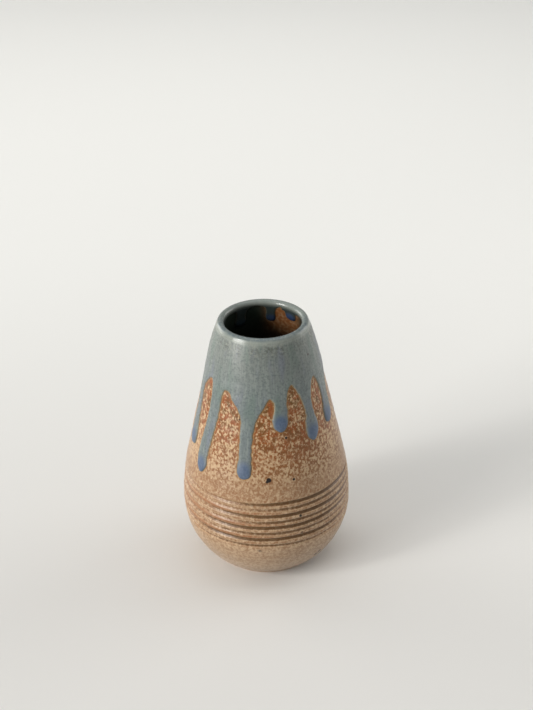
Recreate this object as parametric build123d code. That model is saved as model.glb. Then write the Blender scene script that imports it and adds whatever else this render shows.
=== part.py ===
from build123d import *
import os
from math import asin, cos, degrees, radians, sin, sqrt, tan

# Ceramic bud vase, in millimetres. +Z is up, the origin is the middle of the foot, and -Y is the front.
# A thrown stoneware body carries three fired coats: a speckled base glaze outside, a liner glaze inside,
# and a thicker rim glaze over both, which has run down in drips.
# "Lift" is how far a surface lies above the base and liner glazes: 0 is their surface, the clay is below
# it and the rim glaze is above it.

# Outline of the glazed surface, outside.
height = 110.0
belly_radius = 35.0
belly_height = 28.0
foot_radius = 20.5
side_radius = 97.0
cone_angle = radians(12.7)
shoulder_height = 95.0
shoulder_radius = 104.0

# Outline of the glazed surface, inside.
inner_belly_radius = 30.7
inner_cone_angle = radians(12.0)
inner_floor_height = 6.0

# Coats.
base_coat = 0.3
rim_coat = 0.4
lip_radius = 1.1
glaze_line_height = 1.4

# Foot.
foot_edge_radius = 0.8
recess_radius = 14.5
recess_depth = 1.2
recess_slope = 1.0

# Turned grooves round the belly: every second one is deeper.
groove_heights = [42.9, 40.25, 37.5, 34.9, 32.3, 29.5, 26.4, 23.4]
groove_round = 0.9
deep_groove = 0.5
shallow_groove = 0.25

# Rim glaze: the even collar ends here, outside and inside, and the drips hang from it.
collar_bottom = 89.0
inner_collar_bottom = 106.6
drip_overlap = 3.0
neck_drop = 0.45
outer_reach = (20.0, 45.0)
inner_reach = (10.0, 18.8)

# The line midway through the wall that parts the outside coat from the inside one has corners at these
# heights. Cutting shapes run past what they cut by the clearance.
split_heights = [7.0, 12.0, 20.0, 28.0, 49.0, 85.0]
split_floor_height = 4.5
clearance = 1.0

# Drips outside, counted round from the front towards +X:
# azimuth of root and tip in degrees, height of tip, width at root, neck and bulb.
outer_drips = [
    (-15.5, -16.5, 53.5, 11.0, 5.3, 6.2),
    (14.0, 14.0, 73.0, 7.0, 4.8, 6.8),
    (43.0, 43.0, 65.5, 8.5, 4.4, 7.2),
    (70.5, 67.0, 68.5, 8.5, 5.8, 6.6),
    (110.0, 110.0, 60.0, 9.0, 5.0, 6.4),
    (132.0, 133.0, 76.0, 8.0, 5.4, 6.6),
    (155.0, 154.0, 56.5, 9.5, 5.2, 6.6),
    (180.0, 180.5, 70.5, 9.0, 4.6, 6.6),
    (204.0, 205.0, 63.0, 9.5, 5.6, 6.8),
    (227.0, 227.0, 74.5, 8.0, 4.8, 6.0),
    (249.0, 248.0, 66.5, 8.0, 5.0, 6.4),
    (281.0, 284.0, 57.5, 8.5, 6.6, 7.4),
    (309.0, 304.5, 50.0, 9.5, 6.4, 7.4),
]

# Drips inside the mouth, in the same order of numbers.
inner_drips = [
    (20.0, 20.0, 97.0, 7.5, 4.0, 4.6),
    (58.0, 58.0, 101.0, 6.5, 3.6, 4.4),
    (98.0, 98.0, 99.0, 7.0, 3.6, 4.4),
    (138.0, 138.0, 101.0, 8.5, 5.2, 5.8),
    (170.0, 170.0, 99.5, 5.5, 3.6, 4.2),
    (212.0, 212.0, 98.5, 8.0, 4.6, 5.0),
    (255.0, 255.0, 101.5, 7.0, 4.0, 4.8),
    (300.0, 300.0, 98.0, 8.0, 4.4, 5.0),
    (340.0, 340.0, 102.0, 6.0, 3.4, 4.2),
]

# Worked out from the driving dimensions. Points are (radius, height).
foot_inset = belly_radius - foot_radius
bowl_radius = (foot_inset**2 + belly_height**2) / (2 * foot_inset)
bowl_centre = (belly_radius - bowl_radius, belly_height)
side_centre = (belly_radius - side_radius, belly_height)
cone_foot_radius = side_centre[0] + side_radius * cos(cone_angle)
cone_foot_height = belly_height + side_radius * sin(cone_angle)
cone_top_radius = cone_foot_radius - (shoulder_height - cone_foot_height) * tan(cone_angle)
shoulder_centre = (
    cone_top_radius - shoulder_radius * cos(cone_angle),
    shoulder_height - shoulder_radius * sin(cone_angle),
)
lip_height = height - rim_coat - lip_radius
lip_reach = shoulder_radius - lip_radius
lip_rise = lip_height - shoulder_centre[1]
lip_centre = (shoulder_centre[0] + sqrt(lip_reach**2 - lip_rise**2), lip_height)
lip_angle = asin(lip_rise / lip_reach)

inner_lip_radius = lip_centre[0] - lip_radius * cos(inner_cone_angle)
inner_lip_height = lip_centre[1] - lip_radius * sin(inner_cone_angle)
inner_cone_at_belly = inner_lip_radius + (inner_lip_height - belly_height) * tan(inner_cone_angle)
inner_side_radius = (inner_cone_at_belly - inner_belly_radius) / (1 / cos(inner_cone_angle) - 1)
inner_side_centre = (inner_belly_radius - inner_side_radius, belly_height)
inner_bowl_radius = belly_height - inner_floor_height
inner_bowl_centre = (inner_belly_radius - inner_bowl_radius, belly_height)


def on_circle(centre, radius, angle):
    """The point at an angle, in radians, on a circle of the section."""
    return (centre[0] + radius * cos(angle), centre[1] + radius * sin(angle))


def arc(centre, radius, start, end):
    """An arc of the section between two angles in radians."""
    return CenterArc(centre, radius, degrees(start), degrees(end - start))


def wall_section(lift):
    """The section of everything under the surface at a lift, from the axis out."""
    bowl = bowl_radius + lift
    side = side_radius + lift
    shoulder = shoulder_radius + lift
    lip = lip_radius + lift
    inner_side = inner_side_radius - lift
    inner_bowl = inner_bowl_radius - lift
    foot_angle = -asin(belly_height / bowl)
    inner_lip_angle = radians(180) + inner_cone_angle
    floor = (inner_bowl_centre[0], belly_height - inner_bowl)
    outline = arc(bowl_centre, bowl, foot_angle, 0)
    outline += arc(side_centre, side, 0, cone_angle)
    outline += Line(
        on_circle(side_centre, side, cone_angle),
        on_circle(shoulder_centre, shoulder, cone_angle),
    )
    outline += arc(shoulder_centre, shoulder, cone_angle, lip_angle)
    outline += arc(lip_centre, lip, lip_angle, inner_lip_angle)
    outline += Line(
        on_circle(lip_centre, lip, inner_lip_angle),
        on_circle(inner_side_centre, inner_side, inner_cone_angle),
    )
    outline += arc(inner_side_centre, inner_side, inner_cone_angle, 0)
    outline += arc(inner_bowl_centre, inner_bowl, 0, -radians(90))
    outline += Polyline(floor, (0, floor[1]), (0, 0), on_circle(bowl_centre, bowl, foot_angle))
    return make_face(outline)


def groove_sections(lift):
    """The round-bottomed grooves, as circles of the section, for the surface at a lift."""
    circles = []
    for number, groove_height in enumerate(groove_heights):
        below_belly = groove_height < belly_height
        centre = bowl_centre if below_belly else side_centre
        radius = bowl_radius if below_belly else side_radius
        depth = shallow_groove if number % 2 else deep_groove
        angle = asin((groove_height - belly_height) / radius)
        place = on_circle(centre, radius + groove_round - depth, angle)
        circles.append(Pos(*place) * Circle(groove_round - lift))
    return circles


def grooved_section(lift):
    """The wall's section with the grooves cut in it."""
    section = wall_section(lift)
    for circle in groove_sections(lift):
        section -= circle
    return section


def box_section(low_radius, high_radius, low, high):
    """A rectangle of the section between two radii and two heights."""
    middle = Pos((low_radius + high_radius) / 2, (low + high) / 2)
    return middle * Rectangle(high_radius - low_radius, high - low)


def spin(section):
    """The solid of revolution of a section round the vase's axis."""
    return revolve(Plane.XZ * section, Axis.Z, 360)


def clay_body():
    """The thrown body: bare clay with a turned foot ring, under all the glazes."""
    section = grooved_section(-base_coat)
    foot_corner = section.vertices().filter_by_position(Axis.Y, -0.01, 0.01).sort_by(Axis.X)[-1]
    section = fillet(foot_corner, foot_edge_radius)
    recess_top = (recess_radius - recess_slope, recess_depth)
    recess = make_face(Polyline((0, 0), (recess_radius, 0), recess_top, (0, recess_depth), (0, 0)))
    return spin(section - recess)


def outer_radius(at_height):
    """The radius of the glazed surface outside, at a height up to the shoulder."""
    if at_height < belly_height:
        return bowl_centre[0] + sqrt(bowl_radius**2 - (belly_height - at_height) ** 2)
    if at_height < cone_foot_height:
        return side_centre[0] + sqrt(side_radius**2 - (at_height - belly_height) ** 2)
    return cone_top_radius + (shoulder_height - at_height) * tan(cone_angle)


def inner_radius(at_height):
    """The radius of the glazed surface inside, at a height above the floor."""
    if at_height < belly_height:
        return inner_bowl_centre[0] + sqrt(inner_bowl_radius**2 - (belly_height - at_height) ** 2)
    cone_radius = inner_lip_radius + (inner_lip_height - at_height) * tan(inner_cone_angle)
    if at_height > belly_height + inner_side_radius * sin(inner_cone_angle):
        return cone_radius
    return inner_side_centre[0] + sqrt(inner_side_radius**2 - (at_height - belly_height) ** 2)


def inside_zone():
    """The part of the section on the hollow's side of the middle of the wall."""
    middle = [((outer_radius(level) + inner_radius(level)) / 2, level) for level in split_heights]
    over_lip = height + clearance
    corners = [(0, split_floor_height), (middle[0][0], split_floor_height)]
    corners += middle
    corners += [lip_centre, (lip_centre[0], over_lip), (0, over_lip), (0, split_floor_height)]
    return make_face(Polyline(*corners))


def coat_section():
    """The even coat over the whole pot, outside and inside."""
    return grooved_section(0) - grooved_section(-base_coat)


def base_glaze():
    """The speckled glaze outside, which stops a little above the foot."""
    bare_band = box_section(0, belly_radius, -clearance, glaze_line_height)
    return spin(coat_section() - inside_zone() - bare_band)


def liner_glaze():
    """The glaze poured inside, which meets the outer coat at the crest of the lip."""
    return spin(coat_section() & inside_zone())


def rim_layer():
    """The full rim coat, over the lip and down both sides, before it is cut to its collar and drips."""
    layer = wall_section(rim_coat) - wall_section(0)
    lowest_outside = min(drip[2] for drip in outer_drips) - clearance
    lowest_inside = min(drip[2] for drip in inner_drips) - clearance
    reach = belly_radius + clearance
    over_lip = height + clearance
    outside = box_section(0, reach, lowest_outside, over_lip) - inside_zone()
    inside = box_section(0, reach, lowest_inside, over_lip) & inside_zone()
    return spin(layer & (outside + inside))


def collar_zone():
    """The rings of space that the even collar fills, outside and inside the lip."""
    over_lip = height + clearance
    outside = box_section(0, belly_radius + clearance, collar_bottom, over_lip) - inside_zone()
    inside = box_section(clearance, lip_centre[0] + clearance, inner_collar_bottom, over_lip)
    return spin(outside + inside)


def radial_plane(azimuth):
    """An upright plane that faces out from the axis at an azimuth in degrees."""
    angle = radians(azimuth)
    return Plane(origin=(0, 0, 0), x_dir=(cos(angle), sin(angle), 0), z_dir=(sin(angle), -cos(angle), 0))


def drip_outline(drip, collar_edge, surface_radius):
    """A drip's flat outline: a flared root, a neck, and a bulb with a round end."""
    root_azimuth, tip_azimuth, tip_height, root_width, neck_width, bulb_width = drip
    lean = radians(tip_azimuth - root_azimuth) * surface_radius(tip_height)
    bulb_height = tip_height + bulb_width / 2
    neck_height = collar_edge - neck_drop * (collar_edge - bulb_height)
    top = collar_edge + drip_overlap
    sides = []
    for side in (-1, 1):
        root = (side * root_width / 2, top)
        neck = (side * neck_width / 2 + lean * neck_drop, neck_height)
        bulb = (side * bulb_width / 2 + lean, bulb_height)
        sides.append(Spline(root, neck, bulb, tangents=[(-side, -1), (0, -1)]))
    left, right = sides
    tip = ThreePointArc(left @ 1, (lean, tip_height), right @ 1)
    return make_face(left + tip + right + Line(left @ 0, right @ 0))


def drip_prism(outline, azimuth, reach):
    """A drip's outline carried out from the axis, between two distances."""
    near, far = reach
    return extrude(radial_plane(azimuth) * (Pos(0, 0, near) * outline), amount=far - near)


def drip_glaze():
    """The rim glaze: a collar over the lip, with drips down the outside and the inside."""
    zone = collar_zone()
    for drip in outer_drips:
        zone += drip_prism(drip_outline(drip, collar_bottom, outer_radius), drip[0], outer_reach)
    for drip in inner_drips:
        zone += drip_prism(drip_outline(drip, inner_collar_bottom, inner_radius), drip[0], inner_reach)
    return rim_layer() & zone


os.makedirs("parts", exist_ok=True)
pieces = {
    "clay_body": clay_body(),
    "base_glaze": base_glaze(),
    "liner_glaze": liner_glaze(),
    "drip_glaze": drip_glaze(),
}
for name, shape in pieces.items():
    export_step(shape, f"parts/{name}.step")
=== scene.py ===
import math

import bpy
import numpy as np
from mathutils import Matrix, Vector
from mathutils.kdtree import KDTree


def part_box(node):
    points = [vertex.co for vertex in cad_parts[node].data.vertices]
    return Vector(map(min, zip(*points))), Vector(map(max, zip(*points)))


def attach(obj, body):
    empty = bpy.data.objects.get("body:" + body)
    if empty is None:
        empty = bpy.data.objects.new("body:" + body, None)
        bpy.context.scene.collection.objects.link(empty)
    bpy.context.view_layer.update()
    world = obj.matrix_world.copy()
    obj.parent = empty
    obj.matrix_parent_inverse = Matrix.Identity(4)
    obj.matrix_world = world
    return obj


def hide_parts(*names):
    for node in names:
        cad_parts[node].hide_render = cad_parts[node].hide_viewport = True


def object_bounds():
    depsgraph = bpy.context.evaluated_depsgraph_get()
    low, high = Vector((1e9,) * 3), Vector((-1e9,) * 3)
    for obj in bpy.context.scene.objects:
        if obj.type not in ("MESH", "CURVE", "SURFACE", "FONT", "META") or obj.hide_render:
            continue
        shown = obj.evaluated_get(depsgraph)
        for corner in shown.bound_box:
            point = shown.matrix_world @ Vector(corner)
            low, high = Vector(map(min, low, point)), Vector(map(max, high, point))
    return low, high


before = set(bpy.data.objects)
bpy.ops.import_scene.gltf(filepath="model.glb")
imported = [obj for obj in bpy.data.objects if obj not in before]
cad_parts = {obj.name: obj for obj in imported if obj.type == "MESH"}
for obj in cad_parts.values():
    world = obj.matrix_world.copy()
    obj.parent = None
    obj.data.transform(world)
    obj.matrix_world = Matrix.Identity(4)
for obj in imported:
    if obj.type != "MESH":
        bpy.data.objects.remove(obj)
cad_low, cad_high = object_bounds()

# A ceramic bud vase: a thrown stoneware body with turned grooves, a speckled glaze outside, a liner glaze
# inside, and a blue rim glaze over both, which has run down in drips.
# Shapes are worked out in drawn millimetres on a vase 110 high, as the CAD part is, and `unit` is one of
# them in metres. +Z is up and -Y is the front. Azimuths count from the front towards +X.
# "Lift" is how far a surface lies above the base and liner glazes. "Along" is the distance along the wall's
# section, from the foot's edge up the outside, over the lip and down the inside to the middle of the floor.

# Outline of the glazed surface, in drawn millimetres.
height = 110.0
unit = (cad_high.z - cad_low.z) / height
belly_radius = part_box("base_glaze")[1].x / unit
belly_height = 28.0
foot_radius = 20.5
side_radius = 97.0
cone_angle = math.radians(12.7)
shoulder_height = 95.0
shoulder_radius = 104.0
inner_belly_radius = 30.7
inner_cone_angle = math.radians(12.0)
inner_floor_height = 6.0
lip_radius = 1.1
foot_edge_radius = 0.8
recess_radius = 14.5
recess_depth = 1.2
recess_slope = 1.0
trim_ring_size = 0.09
trim_ring_spacing = 1.7

# How far the thrown wall strays from a true round, and how far apart its spiral rings are.
oval_size = 0.10
three_sided_size = 0.05
ring_size = 0.035
ring_spacing = 4.7
slow_ring_size = 0.05
slow_ring_spacing = 17.0

# Coats. The back of a coat is sunk a little into what it lies on.
base_coat = 0.3
base_sink = 0.02
base_edge_rounding = 0.9
rim_coat = 0.4
rim_sink = 0.12
rim_edge_sink = 0.03
rim_edge_rounding = 1.0
pooled_coat = 0.42
pooled_rounding = 0.5

# The lower edge of the base glaze, which is wavy, and how far up the waves die away.
glaze_line_height = 1.4
glaze_line_fade = 3.0

# Turned grooves: every second one is deeper.
groove_heights = [42.9, 40.25, 37.5, 34.9, 32.3, 29.5, 26.4, 23.4]
groove_half_width = 1.05
deep_groove = 0.62
shallow_groove = 0.34
groove_wander = 0.16
groove_wobble = 0.07
groove_pressure = 0.16
ridge_half_width = 0.95

# The lower edge of the rim glaze outside, as (azimuth in degrees, height) points, from left to right.
# Each row is the top of a gap and then one drip: down its left side, round its tip and up its right side.
front_drips = [
    [(-61, 89.5), (-58.2, 87), (-57, 82), (-58.5, 70), (-62, 59), (-60.5, 52.5), (-55.5, 49.8),
     (-50.5, 52.5), (-50, 58.5), (-47, 67), (-43.5, 79), (-42.6, 84.5)],
    [(-40.3, 87.6), (-35, 87.3), (-31, 84.6), (-25, 81.4), (-21.9, 78), (-21.4, 70), (-21.5, 61),
     (-22.4, 57), (-20.5, 54), (-16.5, 53.3), (-12.2, 54.2), (-10.8, 57.5), (-11, 65), (-9.4, 73.5),
     (-6.2, 78.7), (-0.5, 82.8)],
    [(4.5, 86.3), (8.3, 85), (8.2, 81), (6.4, 77.4), (8.6, 74), (14, 72.7), (19, 74.6), (20.8, 79),
     (20.8, 84)],
    [(24, 89.5), (27.3, 90.8), (31.6, 88), (35.8, 83.5), (38.4, 77.8), (36.2, 72.5), (37.5, 67.8),
     (43, 65.6), (48.2, 68), (50.2, 72), (47.9, 77.5), (48.3, 84)],
    [(52.8, 89.4), (56, 90.3), (60.5, 87.5), (63, 80.5), (60.6, 74.2), (61.2, 69.8), (66.5, 68.3),
     (72.6, 70), (75.3, 74.5), (77.5, 81.5)],
]

# The drips on the sides and the back, as one row each: azimuth of root and tip, height of tip, width at
# neck and bulb, and height of the gap on the left.
back_drips = [
    (110, 110, 60.0, 5.0, 6.4, 88.5),
    (132, 133, 76.0, 5.4, 6.6, 90.0),
    (155, 154, 56.5, 5.2, 6.6, 87.5),
    (180, 180.5, 70.5, 4.6, 6.6, 89.0),
    (204, 205, 63.0, 5.6, 6.8, 86.5),
    (227, 227, 74.5, 4.8, 6.0, 90.5),
    (249, 248, 66.5, 5.0, 6.4, 88.0),
    (280, 284, 57.3, 5.4, 6.4, 89.5),
]

# The drips inside the mouth, in the same order of numbers.
inner_drips = [
    (20, 20, 97.0, 4.0, 4.6, 107.2),
    (58, 58, 101.0, 3.6, 4.4, 106.8),
    (98, 98, 99.0, 3.6, 4.4, 107.3),
    (137, 136, 102.3, 6.2, 6.0, 106.6),
    (168, 169, 99.8, 3.9, 4.0, 107.4),
    (212, 212, 98.5, 4.6, 5.0, 107.4),
    (255, 255, 101.5, 4.0, 4.8, 106.9),
    (300, 300, 98.0, 4.4, 5.0, 107.2),
    (340, 340, 102.0, 3.4, 4.2, 106.8),
]

# Where the base glaze is rustier or, below 0, creamier: azimuth, height, reach round and up, amount.
rust_patches = [
    (22, 66, 10, 7, 0.06), (-2, 70, 6, 6, 0.05), (-33, 83, 6, 5, 0.04),
    (33, 64, 11, 8, 0.05), (3, 82, 5, 4, 0.04), (-35, 60, 10, 5, 0.01),
    (62, 60, 12, 8, -0.02), (-58, 84, 4, 6, 0.03), (-72, 56, 10, 8, -0.05),
    (110, 70, 12, 9, 0.07), (165, 74, 9, 8, 0.08), (218, 68, 12, 8, 0.07),
    (245, 80, 8, 7, 0.06), (140, 60, 12, 6, -0.03), (193, 58, 10, 6, 0.04),
]

# Iron specks burnt through the outside glazes, and two dark marks that are painted shadow: azimuth, height,
# radius, darkness.
iron_specks_and_foot_shadow = [
    (2, 53.5, 0.9, 1), (0.7, 52.8, 0.55, 0.8), (20.4, 52.6, 0.5, 1), (17.3, 70.2, 0.5, 0.9),
    (-53.2, 57.6, 0.45, 0.8), (55.1, 99.9, 0.55, 0.9), (23.2, 36.2, 0.55, 0.9), (-22.3, 77.6, 0.35, 0.7),
    # The two at azimuths 42.6 and 45.2, low on the right, are painted shadow: the dark contact line at the
    # foot's edge.
    (-6, 20.8, 0.6, 0.4), (-4.6, 20.6, 0.6, 0.4), (42.6, 9.8, 0.9, 1), (45.2, 11, 0.9, 1),
    (24, 28, 0.45, 0.6), (112, 64, 0.7, 1), (139, 49, 0.5, 0.9), (168, 34, 0.7, 1),
    (201, 55, 0.5, 0.8), (224, 16, 0.6, 0.9), (250, 47, 0.5, 0.9), (190, 98, 0.5, 0.8),
]

# The rim glaze's edge outside and inside: the wall's radius there, how wide a degree is, and its ripples.
outer_drip_radius = 27.0
inner_drip_radius = 16.5
outer_degree_width = 0.48
inner_degree_width = 0.29
outer_ripple = 0.06
inner_ripple = 0.05

# Where rim glaze gathers in the ends of the drips: half its width, and its reach up outside and inside.
pool_half_width = 3.2
outer_pool_reach = 4.3
inner_pool_reach = 2.2

# How fine the meshes are.
points_per_arc = 120
points_per_span = 40
speckled_columns = 368
liner_columns = 288
body_columns = 288
rim_columns = 496

# Worked out from the outline. Points are (radius, height).
vase_height = height * unit
foot_inset = belly_radius - foot_radius
bowl_radius = (foot_inset**2 + belly_height**2) / (2 * foot_inset)
bowl_centre = (belly_radius - bowl_radius, belly_height)
foot_angle = -math.asin(belly_height / bowl_radius)
side_centre = (belly_radius - side_radius, belly_height)
cone_foot_radius = side_centre[0] + side_radius * math.cos(cone_angle)
cone_foot_height = belly_height + side_radius * math.sin(cone_angle)
cone_top_radius = cone_foot_radius - (shoulder_height - cone_foot_height) * math.tan(cone_angle)
shoulder_centre = (
    cone_top_radius - shoulder_radius * math.cos(cone_angle),
    shoulder_height - shoulder_radius * math.sin(cone_angle),
)
lip_height = height - rim_coat - lip_radius
lip_reach = shoulder_radius - lip_radius
lip_rise = lip_height - shoulder_centre[1]
lip_centre = (shoulder_centre[0] + math.sqrt(lip_reach**2 - lip_rise**2), lip_height)
lip_angle = math.asin(lip_rise / lip_reach)
inner_lip_radius = lip_centre[0] - lip_radius * math.cos(inner_cone_angle)
inner_lip_height = lip_centre[1] - lip_radius * math.sin(inner_cone_angle)
inner_cone_at_belly = inner_lip_radius + (inner_lip_height - belly_height) * math.tan(inner_cone_angle)
inner_side_radius = (inner_cone_at_belly - inner_belly_radius) / (1 / math.cos(inner_cone_angle) - 1)
inner_side_centre = (inner_belly_radius - inner_side_radius, belly_height)
inner_bowl_radius = belly_height - inner_floor_height
inner_bowl_centre = (inner_belly_radius - inner_bowl_radius, belly_height)


# ---------------- the wall's section

def arc_run(centre, radius, start, end, side=1):
    """Points and normals along an arc of the section. Side is -1 where the surface faces the centre."""
    angles = np.linspace(start, end, points_per_arc)
    spokes = np.column_stack([np.cos(angles), np.sin(angles)])
    return np.array(centre) + radius * spokes, side * spokes


runs = [
    arc_run(bowl_centre, bowl_radius, foot_angle, 0),
    arc_run(side_centre, side_radius, 0, cone_angle),
    arc_run(shoulder_centre, shoulder_radius, cone_angle, lip_angle),
    arc_run(lip_centre, lip_radius, lip_angle, math.pi + inner_cone_angle),
    arc_run(inner_side_centre, inner_side_radius, inner_cone_angle, 0, -1),
    arc_run(inner_bowl_centre, inner_bowl_radius, 0, -math.pi / 2, -1),
    (np.array([[0.0, inner_floor_height]]), np.array([[0.0, 1.0]])),
]
section = np.vstack([points for points, normals in runs])
section_normals = np.vstack([normals for points, normals in runs])
section_steps = np.linalg.norm(np.diff(section, axis=0), axis=1)
section_along = np.concatenate([[0.0], np.cumsum(section_steps)])
crest_index = int(np.argmax(section[:, 1]))
crest = section_along[crest_index]
floor_middle = section_along[-1]


def outside(level):
    """How far along the section the outside is at a height."""
    return np.interp(level, section[: crest_index + 1, 1], section_along[: crest_index + 1])


def inside(level):
    """How far along the section the inside is at a height."""
    return np.interp(level, section[crest_index:, 1][::-1], section_along[crest_index:][::-1])


def level_at(along):
    """The height of the surface at a distance along the section."""
    return np.interp(along, section_along, section[:, 1])


def thrown(azimuth, level):
    """How far the wall strays from a true round: a slight oval and faint spiral rings."""
    oval = oval_size * np.sin(2 * azimuth + 0.6)
    oval = oval + three_sided_size * np.sin(3 * azimuth + 0.02 * level + 2)
    rings = ring_size * np.sin(2 * np.pi * level / ring_spacing - azimuth)
    slow_rings = slow_ring_size * np.sin(2 * np.pi * level / slow_ring_spacing - azimuth + 1)
    above_foot = np.clip((level - 3) / 8, 0, 1)
    return oval * np.clip(level / 60, 0.1, 1) + (rings + slow_rings) * above_foot


def turned_from(azimuth, degrees):
    """The angle in radians from an azimuth given in degrees, the shorter way round."""
    return (azimuth - math.radians(degrees) + np.pi) % (2 * np.pi) - np.pi


def facing(azimuth, degrees, sharpness):
    """1 at an azimuth given in degrees, and smoothly down to 0 opposite it."""
    return (0.5 + 0.5 * np.cos(azimuth - math.radians(degrees))) ** sharpness


def bell(azimuth, degrees, reach, power):
    """1 at an azimuth, and down to 0 a little past its reach. Both are in degrees."""
    return np.exp(-((np.degrees(turned_from(azimuth, degrees)) / reach) ** power))


def groove(azimuth, level):
    """The depth of the turned grooves at an azimuth and a height outside, and how darkly they are painted
    with stain and shade.

    The darkening is partly stain and partly painted shade: darkest at the right of the front, where the
    light reaches the grooves least, further round the higher the groove, and again behind."""
    depth = np.zeros(np.broadcast(azimuth, level).shape)
    stain_and_shade = np.zeros(depth.shape)
    for number, groove_height in enumerate(groove_heights):
        wander = groove_wander * np.sin(azimuth + 1.3 * number)
        wander = wander + groove_wobble * np.sin(7 * azimuth + 2 * number)
        pressure = 1 + groove_pressure * np.sin(azimuth + 0.4 * number)
        deepest = (shallow_groove if number % 2 else deep_groove) * pressure
        across = (level - groove_height - wander) / groove_half_width
        cut = deepest * np.clip(1 - across**2, 0, 1) ** 1.5
        # Painted shade: the darkening peaks on the side the light misses, over a little stain all round.
        darkest = 42 - 5 * number
        darkness = 0.22 + facing(azimuth, darkest, 4) + 0.7 * facing(azimuth, darkest + 180, 4)
        depth += cut
        stain_and_shade += cut / deep_groove * darkness
    return depth, stain_and_shade


def ridge_rust(azimuth, level):
    """How far the glaze broke to rust on every second ridge between grooves: it did so at the left."""
    amount = np.zeros(np.broadcast(azimuth, level).shape)
    for upper, lower in zip(groove_heights[1::2], groove_heights[2::2]):
        amount += np.exp(-(((level - (upper + lower) / 2) / ridge_half_width) ** 2))
    return amount * facing(azimuth, -62, 3)


def painted_foot_shade(azimuth, level):
    """Painted shade at the foot at an azimuth and a height: the contact shadow on the right of the front, on
    one side only.
    """
    return 0.5 * bell(azimuth, 30, 26, 4) * np.clip((7 - level) / 5, 0, 1)


def rust_patch(azimuth, level):
    """How much rustier the base glaze is at an azimuth and a height."""
    amount = np.zeros(np.broadcast(azimuth, level).shape)
    for middle, middle_level, reach_round, reach_up, strength in rust_patches:
        up = np.exp(-(((level - middle_level) / reach_up) ** 2))
        amount += strength * bell(azimuth, middle, reach_round, 2) * up
    return amount


def mouth_rust_and_light(azimuth):
    """How bright the rust is inside the mouth, from 0 to 1, on two sides only: partly rust, and partly
    painted light where the lamps reach the inner wall.
    """
    return bell(azimuth, 147, 28, 4) + bell(azimuth, -20, 40, 4)


def place(azimuth, along, lift):
    """Points in metres, at azimuths in radians, distances along the section, and lifts off its surface."""
    radius = np.interp(along, section_along, section[:, 0])
    level = level_at(along)
    steadied = np.clip(radius / 10, 0, 1)
    radius = radius + lift * np.interp(along, section_along, section_normals[:, 0])
    radius = radius + steadied * thrown(azimuth, level)
    level = level + lift * np.interp(along, section_along, section_normals[:, 1])
    axes = (radius * np.sin(azimuth), -radius * np.cos(azimuth), level)
    return unit * np.stack(np.broadcast_arrays(*axes), axis=-1)


# ---------------- the rim glaze's edge

def drip_row(drip, middle_of_gap, radius):
    """The points of one gap and drip, worked out from its row of numbers, as front_drips gives them."""
    root, tip, tip_height, neck, bulb, gap_height = drip
    half_neck = math.degrees(neck / 2 / radius)
    half_bulb = math.degrees(bulb / 2 / radius)
    bulb_height = tip_height + bulb / 2
    fall = gap_height - bulb_height
    # From the gap down to the tip: the drip's middle, how far aside of it, and the height.
    side = [
        (root, half_neck * 1.35, gap_height - 0.16 * fall),
        (root + 0.5 * (tip - root), half_neck, gap_height - 0.5 * fall),
        (tip, half_bulb, bulb_height + 0.06 * fall),
        (tip, half_bulb * 0.78, tip_height + 0.16 * bulb),
    ]
    left = [(middle - aside, level) for middle, aside, level in side]
    right = [(middle + aside, level) for middle, aside, level in reversed(side)]
    return [(middle_of_gap, gap_height), *left, (tip, tip_height), *right]


def drip_rows(drips, first_gap, radius):
    """The rows of points of several drips. Each gap's middle lies halfway between two roots."""
    rows = []
    middle_of_gap = first_gap
    for number, drip in enumerate(drips):
        rows.append(drip_row(drip, middle_of_gap, radius))
        if number + 1 < len(drips):
            middle_of_gap = (drip[0] + drips[number + 1][0]) / 2
    return rows


def smooth_loop(rows, degree_width):
    """A smooth closed line through the rows' points, as azimuths in degrees and heights.

    It is a centripetal Catmull-Rom line, worked out where a degree is degree_width wide."""
    points = np.array([point for row in rows for point in row], float)
    turn = np.array([360.0, 0.0])
    ring = np.vstack([points[-2:] - turn, points, points[:3] + turn])
    flat = ring * [degree_width, 1]
    knots = np.concatenate([[0], np.cumsum(np.linalg.norm(np.diff(flat, axis=0), axis=1) ** 0.5)])
    line = []
    for first in range(1, len(points) + 1):
        p0, p1, p2, p3 = flat[first - 1: first + 3]
        t0, t1, t2, t3 = knots[first - 1: first + 3]
        t = np.linspace(t1, t2, points_per_span, endpoint=False)[:, None]
        a1 = (t1 - t) / (t1 - t0) * p0 + (t - t0) / (t1 - t0) * p1
        a2 = (t2 - t) / (t2 - t1) * p1 + (t - t1) / (t2 - t1) * p2
        a3 = (t3 - t) / (t3 - t2) * p2 + (t - t2) / (t3 - t2) * p3
        b1 = (t2 - t) / (t2 - t0) * a1 + (t - t0) / (t2 - t0) * a2
        b2 = (t3 - t) / (t3 - t1) * a2 + (t - t1) / (t3 - t1) * a3
        line.append((t2 - t) / (t2 - t1) * b1 + (t - t1) / (t2 - t1) * b2)
    return np.vstack(line) / [degree_width, 1]


def ripple(line, size):
    """The line with small uneven ripples, as melted glaze has."""
    azimuth = np.radians(line[:, 0])
    shift = np.sin(61 * azimuth + 0.9 * line[:, 1]) + np.sin(37 * azimuth - 1.7 * line[:, 1] + 1)
    return line + size * np.column_stack([2 * shift, 0.6 * np.roll(shift, 7)])


outer_rows = front_drips + drip_rows(back_drips, 90.0, outer_drip_radius)
inner_rows = drip_rows(inner_drips, 0.0, inner_drip_radius)
outer_edge = ripple(smooth_loop(outer_rows, outer_degree_width), outer_ripple)
inner_edge = ripple(smooth_loop(inner_rows, inner_degree_width), inner_ripple)


def tips(rows):
    """The lowest point of each drip."""
    return [min(row, key=lambda point: point[1]) for row in rows]


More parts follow.
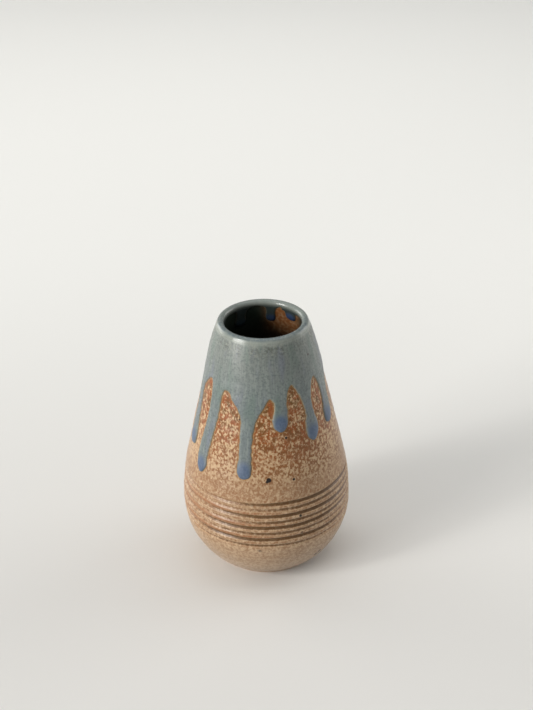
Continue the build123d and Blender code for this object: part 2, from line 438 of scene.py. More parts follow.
def crossings_above(line, azimuths, levels):
    """How often a closed line crosses each azimuth above each height."""
    counts = np.zeros((len(levels), len(azimuths)), int)
    end = np.vstack([line[1:], line[:1] + [360.0, 0.0]])
    for column, azimuth in enumerate(np.degrees(azimuths)):
        for turns in (-360.0, 0.0, 360.0):
            before = line[:, 0] - azimuth + turns
            after = end[:, 0] - azimuth + turns
            hit = (before <= 0) != (after <= 0)
            share = before[hit] / (before[hit] - after[hit])
            heights = line[hit, 1] + share * (end[hit, 1] - line[hit, 1])
            counts[:, column] += (heights[None, :] > levels[:, None]).sum(axis=1)
    return counts


def edge_tree():
    """The rim glaze's two edges as points on the wall, to measure distances to."""
    outer = place(np.radians(outer_edge[:, 0]), outside(outer_edge[:, 1]), 0.0)
    inner = place(np.radians(inner_edge[:, 0]), inside(inner_edge[:, 1]), 0.0)
    points = np.vstack([outer, inner])
    tree = KDTree(len(points))
    for index, point in enumerate(points):
        tree.insert(point, index)
    tree.balance()
    return tree


edges = edge_tree()


def edge_distance(azimuths, alongs):
    """The distance to the rim glaze's edge, above 0 under the glaze and below 0 beside it."""
    points = place(azimuths[None, :], alongs[:, None], 0.0).reshape(-1, 3)
    apart = np.array([edges.find(point)[2] for point in points]) / unit
    levels = level_at(alongs)
    bare_outside = crossings_above(outer_edge, azimuths, levels) % 2 == 1
    bare_inside = crossings_above(inner_edge, azimuths, levels) % 2 == 1
    bare = np.where((alongs <= crest)[:, None], bare_outside, bare_inside)
    return np.where(bare, -1, 1) * apart.reshape(bare.shape)


def pooling(azimuth, along):
    """How much rim glaze has gathered, from 0 to 1: it is most in the round ends of the drips."""
    level = level_at(along)
    radius = np.interp(along, section_along, section[:, 0])
    pool = np.zeros(np.broadcast(azimuth, along).shape)
    outer = (outer_rows, along <= crest, outer_pool_reach)
    inner = (inner_rows, along > crest, inner_pool_reach)
    for rows, on_this_side, reach in (outer, inner):
        for tip_azimuth, tip_height in tips(rows):
            across = turned_from(azimuth, tip_azimuth) * radius / pool_half_width
            above = (level - tip_height - 0.7 * reach) / reach
            pool = np.maximum(pool, np.exp(-(across**2) - above**2) * on_this_side)
    return pool


# ---------------- meshes

def make_piece(name, points, faces, attributes, material, slot, *nodes):
    """A smooth mesh piece with its attributes and material, which stands for CAD nodes."""
    mesh = bpy.data.meshes.new(name)
    mesh.from_pydata(points.tolist(), [], faces)
    mesh.shade_smooth()
    for key, values in attributes.items():
        kind, field = ("FLOAT_VECTOR", "vector") if values.ndim == 2 else ("FLOAT", "value")
        attribute = mesh.attributes.new(key, kind, "POINT")
        attribute.data.foreach_set(field, values.astype(np.float32).ravel())
    mesh.materials.append(material)
    piece = bpy.data.objects.new(name, mesh)
    bpy.context.scene.collection.objects.link(piece)
    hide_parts(*nodes)
    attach(piece, "root")
    return piece


def flow(azimuth, along):
    """The place on the wall as if it were a straight pipe, so that a pattern can run down it in lines."""
    across = outer_drip_radius * np.sin(azimuth)
    backwards = -outer_drip_radius * np.cos(azimuth)
    return np.column_stack([across, backwards, along])


def ring_faces(rows, columns, closed):
    """Quads between rows of points round the axis. A closed run joins the last row to the first."""
    faces = []
    for row in range(rows if closed else rows - 1):
        low = row * columns
        high = ((row + 1) % rows) * columns
        for column in range(columns):
            following = (column + 1) % columns
            faces.append((low + column, low + following, high + following, high + column))
    return faces


def fan(points, faces, columns, first_corner, level, order=1):
    """Closes a ring of points with triangles to a new point on the axis. Order is -1 to turn them over."""
    middle = len(points)
    for column in range(columns):
        side = (first_corner + column, first_corner + (column + 1) % columns)
        faces.append((middle, *side[::order]))
    return np.vstack([points, [[0, 0, level * unit]]])


def grid_triangles(rows, columns):
    """Triangles between rows of points round the axis."""
    corners = np.arange(rows * columns).reshape(rows, columns)
    following = np.roll(corners, -1, axis=1)
    a, b, c, d = corners[:-1], following[:-1], following[1:], corners[1:]
    lower = np.stack([a, b, c], axis=-1).reshape(-1, 3)
    upper = np.stack([a, c, d], axis=-1).reshape(-1, 3)
    return np.vstack([lower, upper])


def coat_faces(triangles, count):
    """The faces of a closed coat: its front, its back turned over, and a strip round their border.

    The front's points come first, and there are as many at the back, in the same order."""
    directed = np.vstack([triangles[:, [0, 1]], triangles[:, [1, 2]], triangles[:, [2, 0]]])
    keys = directed[:, 0] * count + directed[:, 1]
    reverse = directed[:, 1] * count + directed[:, 0]
    start, end = directed[~np.isin(keys, reverse)].T
    strip = np.column_stack([end, start, start + count, end + count])
    return triangles.tolist() + (triangles[:, ::-1] + count).tolist() + strip.tolist()


def spaced(*stops):
    """Distances between stops: (distance, step), and so on, up to a last distance."""
    values = []
    for (start, step), following in zip(stops[:-1], stops[1:]):
        end = following[0]
        count = max(1, round((end - start) / step))
        values.extend(np.linspace(start, end, count, endpoint=False))
    values.append(stops[-1][0])
    return np.array(values)


def glaze_line(azimuths):
    """How far up or down the base glaze's lower edge is at each azimuth."""
    return 0.25 * np.sin(3 * azimuths + 1) + 0.12 * np.sin(11 * azimuths) + 0.08 * np.sin(23 * azimuths + 2)


def speckled_glaze(material):
    """The glaze outside, from a wavy line above the foot to the crest of the lip."""
    azimuths = np.linspace(-np.pi, np.pi, speckled_columns, endpoint=False)
    groove_low = groove_heights[-1] - 2
    groove_high = groove_heights[0] + 2
    front = spaced(
        (outside(glaze_line_height), 0.35), (outside(4), 1.0), (outside(groove_low), 0.26),
        (outside(groove_high), 0.75), (outside(92), 2.0), (crest, 0),
    )
    back = front[::-3]
    alongs = np.concatenate([front, back])
    above_line = alongs - alongs[0]
    fade = np.clip(1 - above_line / glaze_line_fade, 0, 1)
    shifted = alongs[:, None] + fade[:, None] * glaze_line(azimuths)[None, :]
    level = level_at(shifted)
    grooves, stain_and_shade = groove(azimuths[None, :], level)
    rounding = np.clip(above_line[: len(front)] / base_edge_rounding, 0, 1)
    front_lift = -base_coat * (1 - np.sqrt(1 - (1 - rounding) ** 2))
    back_lift = np.full(len(back), -base_coat - base_sink)
    lift = np.concatenate([front_lift, back_lift])[:, None] - grooves
    points = place(azimuths[None, :], shifted, lift).reshape(-1, 3)
    attributes = {
        "edge": edge_distance(azimuths, alongs).ravel(),
        "level": level.ravel(),
        "groove": (grooves / deep_groove).ravel(),
        "stain_and_shade": (stain_and_shade + painted_foot_shade(azimuths[None, :], level)).ravel(),
        "ridge": ridge_rust(azimuths[None, :], level).ravel(),
        "rust": rust_patch(azimuths[None, :], level).ravel(),
    }
    faces = ring_faces(len(alongs), speckled_columns, closed=True)
    return make_piece("speckled_glaze", points, faces, attributes, material, "speckled_glaze", "base_glaze")


def liner_glaze(material):
    """The glaze inside, from the crest of the lip down to the middle of the floor."""
    columns = liner_columns
    azimuths = np.linspace(-np.pi, np.pi, columns, endpoint=False)
    front = spaced((crest, 0.8), (inside(80), 1.6), (inside(12), 0.8), (floor_middle - 1.5, 0))
    back = front[::-4]
    alongs = np.concatenate([front, back])
    lift = np.concatenate([np.zeros(len(front)), np.full(len(back), -base_coat - base_sink)])[:, None]
    points = place(azimuths[None, :], alongs[:, None], lift).reshape(-1, 3)
    faces = ring_faces(len(alongs), columns, closed=True)
    first_back = len(front) * columns
    del faces[first_back - columns: first_back]
    points = fan(points, faces, columns, first_back - columns, inner_floor_height)
    points = fan(points, faces, columns, first_back, inner_floor_height - base_coat, -1)
    shape = (len(alongs), columns)
    level = np.broadcast_to(level_at(alongs)[:, None], shape)
    # The inside's rust and its painted light, on two sides.
    rust = np.broadcast_to(mouth_rust_and_light(azimuths)[None, :], shape)
    attributes = {
        "level": np.append(level.ravel(), [inner_floor_height, inner_floor_height]),
        "rust": np.append(rust.ravel(), [0.0, 0.0]),
    }
    return make_piece("liner_glaze_coat", points, faces, attributes, material, "liner_glaze", "liner_glaze")


def foot_section():
    """The underside of the body from the axis out: a trimmed recess, the foot ring and its rounded edge."""
    foot_outer = np.interp(outside(0.8), section_along, section[:, 0]) - base_coat
    turns = np.linspace(-np.pi / 2, -0.1, 8)
    corner = (foot_outer - foot_edge_radius, foot_edge_radius)
    bed = [(radius, recess_depth + trim_ring_size * math.sin(radius * 2 * math.pi / trim_ring_spacing))
           for radius in np.arange(1.2, recess_radius - recess_slope - 0.4, 0.34)]
    wall = [
        (recess_radius - recess_slope - 0.1, recess_depth - 0.05),
        (recess_radius - recess_slope * 0.45, recess_depth * 0.5),
        (recess_radius - 0.15, 0.12),
        (recess_radius + 0.25, 0.0),
    ]
    ring = [(radius, 0.0) for radius in np.linspace(recess_radius + 0.8, corner[0] - 0.3, 6)]
    edge = [(corner[0] + foot_edge_radius * math.cos(turn), corner[1] + foot_edge_radius * math.sin(turn))
            for turn in turns]
    return np.array(bed + wall + ring + edge)


def stoneware_body(material):
    """The thrown body, bare at the foot and under the glazes everywhere else."""
    columns = body_columns
    azimuths = np.linspace(-np.pi, np.pi, columns, endpoint=False)
    underside = foot_section()
    under_radius = underside[:, :1] * np.ones(columns)
    under_level = underside[:, 1:] * np.ones(columns)
    under = np.stack(
        [under_radius * np.sin(azimuths), -under_radius * np.cos(azimuths), under_level], axis=-1
    )
    alongs = spaced(
        (outside(1.1), 0.5), (outside(4), 2.0), (outside(groove_heights[-1] - 2), 0.5),
        (outside(groove_heights[0] + 2), 3.0), (crest - 1, 0.4), (crest + 2, 3.0), (floor_middle - 2, 0),
    )
    outer = (alongs <= crest)[:, None]
    grooves = groove(azimuths[None, :], level_at(alongs)[:, None])[0] * outer
    wall = place(azimuths[None, :], alongs[:, None], -base_coat - grooves)
    points = np.vstack([under.reshape(-1, 3) * unit, wall.reshape(-1, 3)])
    rows = len(underside) + len(alongs)
    faces = ring_faces(rows, columns, closed=False)
    points = fan(points, faces, columns, 0, recess_depth, -1)
    points = fan(points, faces, columns, (rows - 1) * columns, inner_floor_height - base_coat)
    return make_piece("stoneware_body", points, faces, {}, material, "stoneware_clay", "clay_body")


def clip(triangles, depth, cut_point):
    """The part of a mesh where depth is above 0. cut_point(a, b, share) adds a point between two others."""
    made = {}

    def between(a, b):
        key = (a, b) if a < b else (b, a)
        if key not in made:
            first, second = key
            made[key] = cut_point(first, second, depth[first] / (depth[first] - depth[second]))
        return made[key]

    inside_mask = depth[triangles] > 0
    counts = inside_mask.sum(axis=1)
    kept = [tuple(triangle) for triangle in triangles[counts == 3].tolist()]
    for triangle, mask in zip(triangles[counts == 1].tolist(), inside_mask[counts == 1]):
        first = int(np.argmax(mask))
        a, b, c = triangle[first], triangle[(first + 1) % 3], triangle[(first + 2) % 3]
        kept.append((a, between(a, b), between(a, c)))
    for triangle, mask in zip(triangles[counts == 2].tolist(), inside_mask[counts == 2]):
        first = int(np.argmin(mask))
        a, b, c = triangle[first], triangle[(first + 1) % 3], triangle[(first + 2) % 3]
        ab, ac = between(a, b), between(a, c)
        kept.append((b, c, ac))
        kept.append((b, ac, ab))
    return kept


def rim_glaze(material):
    """The rim glaze: a coat over the lip that ends in drips, outside and inside, with a rounded edge."""
    azimuths = np.linspace(-np.pi, np.pi, rim_columns, endpoint=False)
    lowest_outside = outer_edge[:, 1].min() - 0.6
    lowest_inside = inner_edge[:, 1].min() - 0.4
    alongs = spaced(
        (outside(lowest_outside), 0.42), (outside(91.5), 1.3), (crest - 4, 0.5), (crest + 1.5, 0.4),
        (inside(lowest_inside), 0),
    )
    shape = (len(alongs), rim_columns)
    depth = edge_distance(azimuths, alongs).ravel()
    azimuth = np.broadcast_to(azimuths[None, :], shape).ravel().tolist()
    along = np.broadcast_to(alongs[:, None], shape).ravel().tolist()

    def cut_point(first, second, share):
        step = (azimuth[second] - azimuth[first] + math.pi) % (2 * math.pi) - math.pi
        azimuth.append(azimuth[first] + share * step)
        along.append(along[first] + share * (along[second] - along[first]))
        return len(azimuth) - 1

    kept = np.array(clip(grid_triangles(*shape), depth, cut_point))
    depth = np.concatenate([depth, np.zeros(len(azimuth) - len(depth))])
    used, kept = np.unique(kept, return_inverse=True)
    kept = kept.reshape(-1, 3)
    azimuth = np.array(azimuth)[used]
    along = np.array(along)[used]
    depth = np.clip(depth[used], 0, None)

    pool = pooling(azimuth, along)
    rounding = rim_edge_rounding + pooled_rounding * pool
    swell = np.sqrt(1 - (1 - np.clip(depth / rounding, 0, 1)) ** 2)
    front = place(azimuth, along, (rim_coat + pooled_coat * pool) * swell - rim_edge_sink)
    back = place(azimuth, along, -rim_sink)
    place_on_pipe = flow(azimuth, along)
    attributes = {
        "edge": np.tile(depth, 2),
        "pool": np.tile(pool, 2),
        "level": np.tile(level_at(along), 2),
        "flow": np.vstack([place_on_pipe, place_on_pipe]),
        "from_crest": np.tile(along - crest, 2),
        # The inside's rust and its painted light on two sides, as in the liner.
        "rust": np.tile(mouth_rust_and_light(azimuth), 2),
    }
    points = np.vstack([front, back])
    faces = coat_faces(kept, len(front))
    return make_piece("rim_glaze_coat", points, faces, attributes, material, "rim_glaze", "drip_glaze")


# ---------------- materials

def colour(red, green, blue):
    """A screen colour, 0 to 255, as the linear values that a shader takes."""
    shares = np.array([red, green, blue]) / 255
    return (*np.where(shares <= 0.04045, shares / 12.92, ((shares + 0.055) / 1.055) ** 2.4), 1.0)


class Recipe:
    """A node material with one shader. Each method adds a node and returns its output."""

    def __init__(self, name, **shader_values):
        self.material = bpy.data.materials.new(name)
        self.material.use_nodes = True
        self.tree = self.material.node_tree
        self.shader = self.tree.nodes["Principled BSDF"]
        for key, value in shader_values.items():
            self.shader.inputs[key.replace("_", " ")].default_value = value

    def feed(self, socket, value):
        """Links an output to a socket, or sets the socket to a plain value."""
        if isinstance(value, bpy.types.NodeSocket):
            self.tree.links.new(value, socket)
        else:
            socket.default_value = value

    def node(self, kind, *values, **settings):
        """A node with its settings, and its inputs fed in order. None leaves an input as it is."""
        made = self.tree.nodes.new(kind)
        for key, value in settings.items():
            setattr(made, key, value)
        for socket, value in zip(made.inputs, values):
            if value is not None:
                self.feed(socket, value)
        return made

    def attribute(self, name, vector=False):
        """One of the mesh's own values at each point."""
        made = self.node("ShaderNodeAttribute", attribute_name=name)
        return made.outputs["Vector" if vector else "Fac"]

    def drawn_place(self):
        """The place on the piece in drawn millimetres."""
        spot = self.node("ShaderNodeTexCoord").outputs["Object"]
        return self.stretched(spot, (1 / unit, 1 / unit, 1 / unit))

    def stretched(self, vector, scales):
        """A vector multiplied by three numbers."""
        return self.node("ShaderNodeVectorMath", vector, scales, operation="MULTIPLY").outputs[0]

    def sum(self, total, *others):
        """Numbers added up."""
        for other in others:
            total = self.node("ShaderNodeMath", total, other, operation="ADD").outputs[0]
        return total

    def times(self, product, *others):
        """Numbers multiplied together."""
        for other in others:
            product = self.node("ShaderNodeMath", product, other, operation="MULTIPLY").outputs[0]
        return product

    def ramp(self, value, low, high, at_low=0.0, at_high=1.0):
        """A smooth step from one number to another as the value goes from low to high."""
        return self.node(
            "ShaderNodeMapRange", value, low, high, at_low, at_high, interpolation_type="SMOOTHSTEP"
        ).outputs[0]

    def band(self, value, start, full, fading, gone, most=1.0):
        """Its most from full to fading, and smoothly down to 0 at start and at gone."""
        return self.times(self.ramp(value, start, full), self.ramp(value, gone, fading, 0.0, most))

    def noise(self, vector, per_mm, detail=2.0, rough=0.5):
        """Cloudy noise with so many features to a drawn millimetre, mostly from 0.3 to 0.7."""
        return self.node("ShaderNodeTexNoise", vector, None, per_mm, detail, rough).outputs[0]

    def swing(self, noise, size):
        """Noise made to go as far below 0 as above it."""
        return self.times(self.sum(noise, -0.5), size)

    def cells(self, vector, per_mm):
        """The distance to the nearest of a scatter of points."""
        return self.node("ShaderNodeTexVoronoi", vector, None, per_mm).outputs["Distance"]

    def mix(self, amount, first, second):
        """Two colours mixed: the first where the amount is 0, the second where it is 1."""
        made = self.node("ShaderNodeMix", data_type="RGBA")
        self.feed(made.inputs[0], amount)
        self.feed(made.inputs[6], first)
        self.feed(made.inputs[7], second)
        return made.outputs[2]

    def bump(self, heights, strength, depth_mm):
        """Small relief in the shader, for what is finer than the mesh."""
        made = self.node("ShaderNodeBump")
        made.inputs["Strength"].default_value = strength
        made.inputs["Distance"].default_value = depth_mm * unit
        self.feed(made.inputs["Height"], heights)
        self.feed(self.shader.inputs["Normal"], made.outputs[0])

    def finish(self, base, roughness):
        """The colour and the roughness into the shader."""
        self.feed(self.shader.inputs["Base Color"], base)
        self.feed(self.shader.inputs["Roughness"], roughness)
        return self.material


def near_specks(recipe, spot):
    """How much of a speck is at a place: 1 in a dark speck's middle and 0 away from them all. Two low on the
    right are painted shadow.
    """
    total = 0.0
    for azimuth, level, radius, darkness in iron_specks_and_foot_shadow:
        middle = place(math.radians(azimuth), outside(level), 0.0) / unit
        away = recipe.node("ShaderNodeVectorMath", spot, tuple(middle), operation="DISTANCE")
        speck = recipe.ramp(away.outputs["Value"], radius * 0.8, radius * 1.4, darkness, 0.0)
        total = recipe.sum(total, speck)
    return recipe.ramp(total, 0.0, 1.0)


def speckled_material():
    """Rust that breaks to cream flecks near the drips, and tan with brown mottle lower down."""
    upper_rust = colour(144, 78, 30)
    lower_rust = colour(138, 98, 60)
    olive_rust = colour(104, 72, 28)
    dark_rust = colour(112, 62, 26)
    upper_cream = colour(196, 166, 128)
    lower_cream = colour(186, 156, 122)
    pale_tan = colour(195, 167, 135)
    dark_tan = colour(154, 120, 87)
    pale_foot = colour(180, 158, 134)
    dark_foot = colour(158, 132, 108)
    belly_brown = colour(128, 100, 74)
    band_rust = colour(138, 95, 60)
    groove_cream = colour(202, 172, 136)
    ridge_brown = colour(146, 96, 60)
    groove_stain_and_shade = colour(84, 55, 18)
    end_brown = colour(92, 72, 54)
    halo_tan = colour(156, 120, 74)
    iron_and_shadow_black = colour(26, 16, 12)
    pinhole_brown = colour(86, 58, 40)

    recipe = Recipe("speckled_glaze", Coat_Weight=0.1, Coat_Roughness=0.12, Specular_IOR_Level=0.4)
    spot = recipe.drawn_place()
    leaning = recipe.stretched(spot, (1.0, 1.0, 0.85))
    level = recipe.attribute("level")
    edge = recipe.attribute("edge")
    groove_depth = recipe.attribute("groove")
    clouds = recipe.noise(spot, 0.16, 2.0)
    flecks = recipe.noise(leaning, 0.92, 4.0, 0.62)
    fine = recipe.noise(spot, 1.9, 2.0, 0.6)
    high = recipe.ramp(level, 46.0, 86.0)

    # The upper half: rust, with cream flecks where the cream's share is large enough.
    beside_drips = recipe.times(recipe.ramp(edge, -2.6, -0.3), high, 0.05)
    rust_share = recipe.sum(recipe.times(high, 0.055), beside_drips, recipe.swing(clouds, 0.16))
    rust_share = recipe.sum(rust_share, recipe.attribute("rust"))
    dots = recipe.ramp(recipe.cells(leaning, 0.62), 0.18, 0.36, 0.10, -0.03)
    cream_share = recipe.sum(flecks, -0.005, recipe.times(rust_share, -1.0))
    cream_share = recipe.sum(cream_share, recipe.swing(fine, 0.16), dots)
    creamy = recipe.ramp(cream_share, 0.35, 0.57)
    olive = recipe.ramp(recipe.noise(spot, 0.33, 3.0, 0.6), 0.44, 0.60)
    rust = recipe.mix(recipe.ramp(level, 48.0, 74.0), lower_rust, upper_rust)
    rust = recipe.mix(recipe.times(high, olive), rust, olive_rust)
    rust = recipe.mix(recipe.ramp(fine, 0.38, 0.70, 0.0, 0.8), rust, dark_rust)
    cream = recipe.mix(recipe.ramp(level, 48.0, 70.0), lower_cream, upper_cream)
    upper = recipe.mix(creamy, rust, cream)

    # The lower half: mottled tan, a little browner under the grooves.
    mottle = recipe.ramp(recipe.noise(spot, 0.9, 4.0, 0.65), 0.38, 0.62)
    tan = recipe.mix(mottle, dark_tan, pale_tan)
    foot = recipe.mix(mottle, dark_foot, pale_foot)
    lower = recipe.mix(recipe.ramp(level, 4.0, 24.0), foot, tan)
    body = recipe.mix(recipe.ramp(level, 38.0, 56.0), lower, upper)
    body = recipe.mix(recipe.band(level, 8.0, 14.0, 19.0, 24.0, 0.25), body, belly_brown)

    # The grooves: rusty between, cream along their edges, and dark inside, partly stain and partly painted
    # shade.
    rusty = recipe.ramp(recipe.noise(leaning, 0.8, 4.0, 0.65), 0.43, 0.60, 0.0, 0.78)
    body = recipe.mix(recipe.times(recipe.band(level, 21.0, 23.0, 46.0, 56.0), rusty), body, band_rust)
    body = recipe.mix(recipe.band(groove_depth, 0.0, 0.10, 0.15, 0.40, 0.4), body, groove_cream)
    ridges = recipe.sum(recipe.attribute("ridge"), recipe.swing(flecks, 1.6))
    body = recipe.mix(recipe.ramp(ridges, 0.15, 0.75, 0.0, 0.7), body, ridge_brown)
    # Painted shade in the grooves on the side the light misses and at the foot on the right, over the
    # grooves' own stain.
    stain_and_shade_share = recipe.sum(recipe.attribute("stain_and_shade"), recipe.swing(flecks, 1.1))
    body = recipe.mix(recipe.ramp(stain_and_shade_share, 0.16, 0.74, 0.0, 0.85), body, groove_stain_and_shade)

    # The lower end, the halo beside the rim glaze, and the specks.
    glaze_end = recipe.times(recipe.ramp(level, 2.3, 1.5), recipe.ramp(clouds, 0.35, 0.6, 0.35, 0.8))
    body = recipe.mix(glaze_end, body, end_brown)
    halo = recipe.times(recipe.ramp(edge, -0.9, -0.1), recipe.ramp(fine, 0.3, 0.6, 0.2, 0.7))
    body = recipe.mix(halo, body, halo_tan)
    # Iron specks, and two that are painted shadow at the foot's edge.
    body = recipe.mix(near_specks(recipe, spot), body, iron_and_shadow_black)
    pinholes = recipe.ramp(recipe.cells(spot, 0.22), 0.035, 0.06, 0.75, 0.0)
    body = recipe.mix(pinholes, body, pinhole_brown)

    recipe.bump(recipe.sum(recipe.times(flecks, 0.5), recipe.times(fine, 0.3)), 0.35, 0.12)
    roughness = recipe.sum(recipe.ramp(creamy, 0.0, 1.0, 0.28, 0.38), recipe.times(fine, 0.10))
    return recipe.finish(body, roughness)


def liner_material():
    """Rust brown with cream flecks on two sides of the mouth, partly painted light where the lamps reach the
    inner wall, and almost black elsewhere and further in, which is painted shade.
    """
    recipe = Recipe("liner_glaze")
    spot = recipe.drawn_place()
    flecks = recipe.noise(spot, 0.8, 3.0, 0.6)
    fine = recipe.noise(spot, 1.6, 2.0)
    near_mouth = recipe.ramp(recipe.attribute("level"), 88.0, 101.0)
    rust = recipe.mix(recipe.ramp(flecks, 0.42, 0.66), colour(134, 84, 44), colour(168, 130, 96))
    rust = recipe.mix(recipe.ramp(fine, 0.45, 0.75, 0.0, 0.5), rust, colour(92, 58, 34))
    # Painted shade: almost black where the light doesn't reach inside the mouth, and a little lighter near
    # the mouth.
    dark = recipe.mix(recipe.ramp(flecks, 0.40, 0.65), colour(24, 27, 22), colour(42, 36, 26))
    dark = recipe.mix(near_mouth, dark, colour(42, 50, 42))
    # Rust on the two sides the rust attribute marks: partly the liner's rust, partly painted light where the
    # lamps reach the inner wall.
    base = recipe.mix(recipe.times(near_mouth, recipe.attribute("rust")), dark, rust)
    recipe.bump(flecks, 0.3, 0.1)
    return recipe.finish(base, recipe.ramp(fine, 0.3, 0.7, 0.28, 0.42))


def rim_material():
    """Grey green where it is even, streaked down the wall, and violet blue where it has pooled."""
    lower_green = colour(104, 113, 113)
    upper_green = colour(113, 118, 113)
    pale_streak = colour(134, 141, 134)
    violet_cloud = colour(104, 108, 124)
    green_cloud = colour(94, 112, 102)
    dark_grain = colour(74, 86, 84)
    olive_fleck = colour(76, 78, 64)
    pale_fleck = colour(148, 148, 128)
    pale_lip = colour(150, 155, 146)
    crest_blue = colour(90, 104, 110)
    inner_green_in_shade = colour(30, 43, 43)
    dark_bulb = colour(70, 87, 110)
    pale_bulb = colour(86, 101, 124)
    inner_bulb_in_shade = colour(26, 38, 40)
    inner_lit_bulb = colour(40, 58, 92)
    thin_tan = colour(134, 114, 78)
    thin_blue = colour(72, 96, 106)
    speck_brown = colour(60, 44, 40)

    recipe = Recipe("rim_glaze", Coat_Weight=0.2, Coat_Roughness=0.32)
    spot = recipe.drawn_place()
    down = recipe.attribute("flow", vector=True)
    level = recipe.attribute("level")
    pool = recipe.attribute("pool")
    from_crest = recipe.attribute("from_crest")
    off_crest = recipe.node("ShaderNodeMath", from_crest, operation="ABSOLUTE").outputs[0]
    streaks = recipe.noise(recipe.stretched(down, (1.0, 1.0, 0.12)), 1.1, 3.0, 0.65)
    broad = recipe.noise(recipe.stretched(down, (1.0, 1.0, 0.25)), 0.20, 2.0, 0.5)
    grain = recipe.noise(spot, 1.1, 3.0, 0.62)
    patches = recipe.noise(spot, 0.9, 3.0, 0.65)

    # The even coat on the wall.
    even = recipe.mix(recipe.ramp(level, 80.0, 104.0), lower_green, upper_green)
    even = recipe.mix(recipe.ramp(streaks, 0.42, 0.62, 0.0, 0.5), even, pale_streak)
    even = recipe.mix(recipe.ramp(broad, 0.52, 0.70, 0.0, 0.5), even, violet_cloud)
    even = recipe.mix(recipe.ramp(broad, 0.46, 0.30, 0.0, 0.5), even, green_cloud)
    even = recipe.mix(recipe.ramp(grain, 0.44, 0.68, 0.0, 0.6), even, dark_grain)

    # Flecks under the lip, the pale lip, and the bluer crest, which is less blue behind.
    flecked = recipe.times(
        recipe.band(level, 101.5, 105.5, 107.8, 109.3), recipe.ramp(broad, 0.36, 0.60, 0.25, 1.0)
    )
    even = recipe.mix(recipe.times(flecked, recipe.ramp(patches, 0.50, 0.60, 0.0, 0.65)), even, olive_fleck)
    even = recipe.mix(recipe.times(flecked, recipe.ramp(patches, 0.47, 0.38, 0.0, 0.45)), even, pale_fleck)
    even = recipe.mix(recipe.ramp(from_crest, -4.0, -1.8, 0.0, 0.65), even, pale_lip)
    backwards = recipe.node("ShaderNodeSeparateXYZ", spot).outputs["Y"]
    crest_share = recipe.times(
        recipe.ramp(off_crest, 0.5, 1.7, 1.0, 0.0),
        recipe.ramp(patches, 0.38, 0.60, 0.35, 0.85),
        recipe.ramp(backwards, -8.0, 8.0, 1.0, 0.35),
    )
    even = recipe.mix(crest_share, even, crest_blue)
    # Painted shade: inside the mouth the rim glaze is made almost black green.
    even = recipe.mix(recipe.ramp(from_crest, 0.9, 3.6, 0.0, 0.93), even, inner_green_in_shade)

    # The ends of the drips, the thin edge, and the specks.
    pooled = recipe.ramp(pool, 0.12, 0.75)
    bulb = recipe.mix(recipe.ramp(grain, 0.3, 0.7), dark_bulb, pale_bulb)
    # Inner drip ends: a lit copy where light falls inside, and a painted-shade copy elsewhere.
    inner_bulb = recipe.mix(recipe.attribute("rust"), inner_bulb_in_shade, inner_lit_bulb)
    bulb = recipe.mix(recipe.ramp(from_crest, 2.0, 6.0, 0.0, 0.9), bulb, inner_bulb)
    body = recipe.mix(pooled, even, bulb)
    thin = recipe.times(
        recipe.ramp(recipe.attribute("edge"), 0.10, 0.65, 1.0, 0.0),
        recipe.ramp(patches, 0.38, 0.62, 0.25, 0.85),
        recipe.ramp(from_crest, 2.0, 5.0, 1.0, 0.35),
    )
    body = recipe.mix(thin, body, recipe.mix(pooled, thin_tan, thin_blue))
    body = recipe.mix(near_specks(recipe, spot), body, speck_brown)

    recipe.bump(recipe.sum(recipe.times(streaks, 0.7), recipe.times(grain, 0.3)), 0.25, 0.10)
    gloss = recipe.ramp(off_crest, 1.8, 3.6, 0.40, 1.0)
    return recipe.finish(body, recipe.times(recipe.ramp(grain, 0.3, 0.7, 0.40, 0.52), gloss))


def clay_material():
    """Bare fired stoneware: matt, sandy, with dark grog."""
    recipe = Recipe("stoneware_clay")
    spot = recipe.drawn_place()
    grain = recipe.noise(spot, 2.2, 3.0, 0.65)
    clouds = recipe.noise(spot, 0.18, 2.0)
    base = recipe.mix(recipe.ramp(grain, 0.3, 0.7), colour(168, 138, 110), colour(206, 178, 148))
    base = recipe.mix(recipe.ramp(clouds, 0.4, 0.7, 0.0, 0.35), base, colour(160, 120, 90))
    grog = recipe.ramp(recipe.cells(spot, 0.45), 0.06, 0.12, 0.8, 0.0)
    base = recipe.mix(grog, base, colour(84, 60, 46))
    recipe.bump(grain, 0.6, 0.15)
    return recipe.finish(base, recipe.ramp(grain, 0.3, 0.7, 0.75, 0.92))


# ---------------- stage, lights and camera

def stage_material():
    """A plain pale card with painted light: a little lighter further back, where more light falls."""
    recipe = Recipe("pale_card")
    spot = recipe.node("ShaderNodeTexCoord").outputs["Object"]
    depth = recipe.node("ShaderNodeSeparateXYZ", spot).outputs["Y"]
    further = recipe.ramp(depth, -0.6 * vase_height, 2.9 * vase_height)
    base = recipe.mix(further, colour(230, 228, 224), colour(245, 244, 240))
    return recipe.finish(base, 0.7)


def build_stage():
    """A pale sheet that lies flat under the vase and sweeps up far behind it."""
    half_width = 40 * vase_height
    front = -20 * vase_height
    bend_start = 22 * vase_height
    bend_radius = 12 * vase_height
    profile = [(front, 0.0), (bend_start, 0.0)]
    for turn in np.linspace(0, math.pi / 2, 24)[1:]:
        profile.append((bend_start + bend_radius * math.sin(turn), bend_radius * (1 - math.cos(turn))))
    profile.append((bend_start + bend_radius, 3 * bend_radius))
    points = [(side * half_width, y, z) for y, z in profile for side in (-1, 1)]
    faces = [(2 * row, 2 * row + 1, 2 * row + 3, 2 * row + 2) for row in range(len(profile) - 1)]
    mesh = bpy.data.meshes.new("pale_sheet")
    mesh.from_pydata(points, [], faces)
    mesh.shade_smooth()
    mesh.materials.append(stage_material())
    sheet = bpy.data.objects.new("pale_sheet", mesh)
    bpy.context.scene.collection.objects.link(sheet)


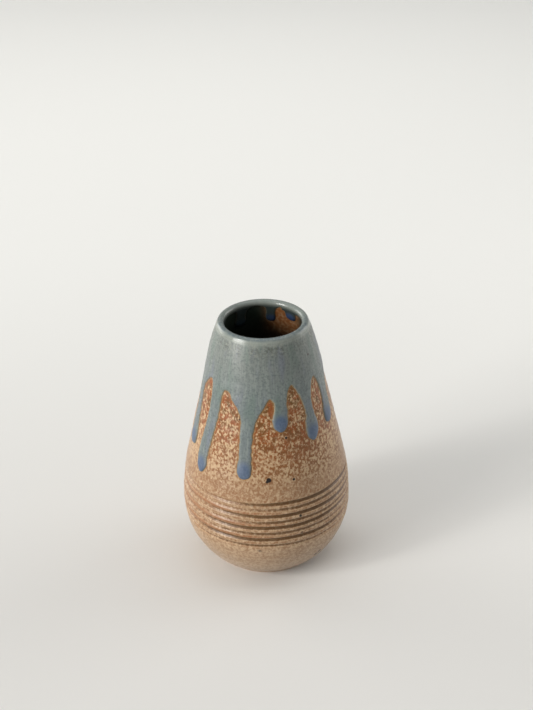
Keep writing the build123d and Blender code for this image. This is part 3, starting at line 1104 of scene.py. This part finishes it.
def aim(thing, place_m, target_m, roll=0.0):
    """Puts a lamp or camera at a place, looking at a target."""
    look = (target_m - place_m).to_track_quat("-Z", "Y").to_matrix().to_4x4()
    thing.matrix_world = Matrix.Translation(place_m) @ look @ Matrix.Rotation(roll, 4, "Z")


def soft_light(name, azimuth, elevation, distance, size, power, tint, aim_at=(0.0, 0.0), spread=180.0):
    """A square soft lamp aimed at the vase, or at a place on the floor. Distances are in vase heights."""
    data = bpy.data.lights.new(name, "AREA")
    data.shape = "SQUARE"
    data.size = size * vase_height
    data.energy = power
    data.color = tint
    data.spread = math.radians(spread)
    lamp = bpy.data.objects.new(name, data)
    bpy.context.scene.collection.objects.link(lamp)
    turn = math.radians(azimuth)
    rise = math.radians(elevation)
    out = distance * math.cos(rise)
    lamp_place = Vector((out * math.sin(turn), -out * math.cos(turn), distance * math.sin(rise)))
    aim(lamp, lamp_place * vase_height, Vector((*aim_at, 0.5)) * vase_height)


def build_lights():
    """One large low key from the front left, weak lamps for the edges and the floor, and a pale surround."""
    warm = (1.0, 0.985, 0.96)
    white = (1.0, 0.99, 0.97)
    soft_light("key", -59, 17, 20, 10.0, 36.0, warm)
    soft_light("glint", -61, 34, 12, 1.5, 2.8, white)
    soft_light("left_back", -125, 12, 12, 7.0, 5.5, warm)
    soft_light("right_back", 112, 20, 12, 8.0, 4.9, white)
    soft_light("overhead", 180, 84, 12, 9.0, 3.0, white)
    soft_light("back_floor", 180, 45, 8.5, 5.0, 0.28, white, aim_at=(0.0, 5.6), spread=86.0)
    soft_light("right_floor", 90, 60, 6, 3.0, 0.17, white, aim_at=(3.0, 0.0), spread=90.0)
    world = bpy.data.worlds.new("pale_room")
    world.use_nodes = True
    background = world.node_tree.nodes["Background"]
    background.inputs["Color"].default_value = (0.95, 0.98, 1.0, 1.0)
    background.inputs["Strength"].default_value = 0.29
    bpy.context.scene.world = world


def build_camera():
    """A camera above the front, tilted down at the vase."""
    pitch = math.radians(28.767)
    roll = math.radians(-1.226)
    view_distance = 5.6545 * vase_height
    target = Vector((0.0113, 0, 0.8478)) * vase_height
    data = bpy.data.cameras.new("camera")
    data.sensor_width = 36.0
    data.lens = 77.77
    data.clip_start = 0.01
    data.clip_end = 100.0
    camera = bpy.data.objects.new("camera", data)
    bpy.context.scene.collection.objects.link(camera)
    spot = target + view_distance * Vector((0, -math.cos(pitch), math.sin(pitch)))
    aim(camera, spot, target, roll)
    bpy.context.scene.camera = camera


stoneware_body(clay_material())
speckled_glaze(speckled_material())
liner_glaze(liner_material())
rim_glaze(rim_material())
build_stage()
build_lights()
build_camera()
bpy.context.scene.view_settings.view_transform = "Standard"
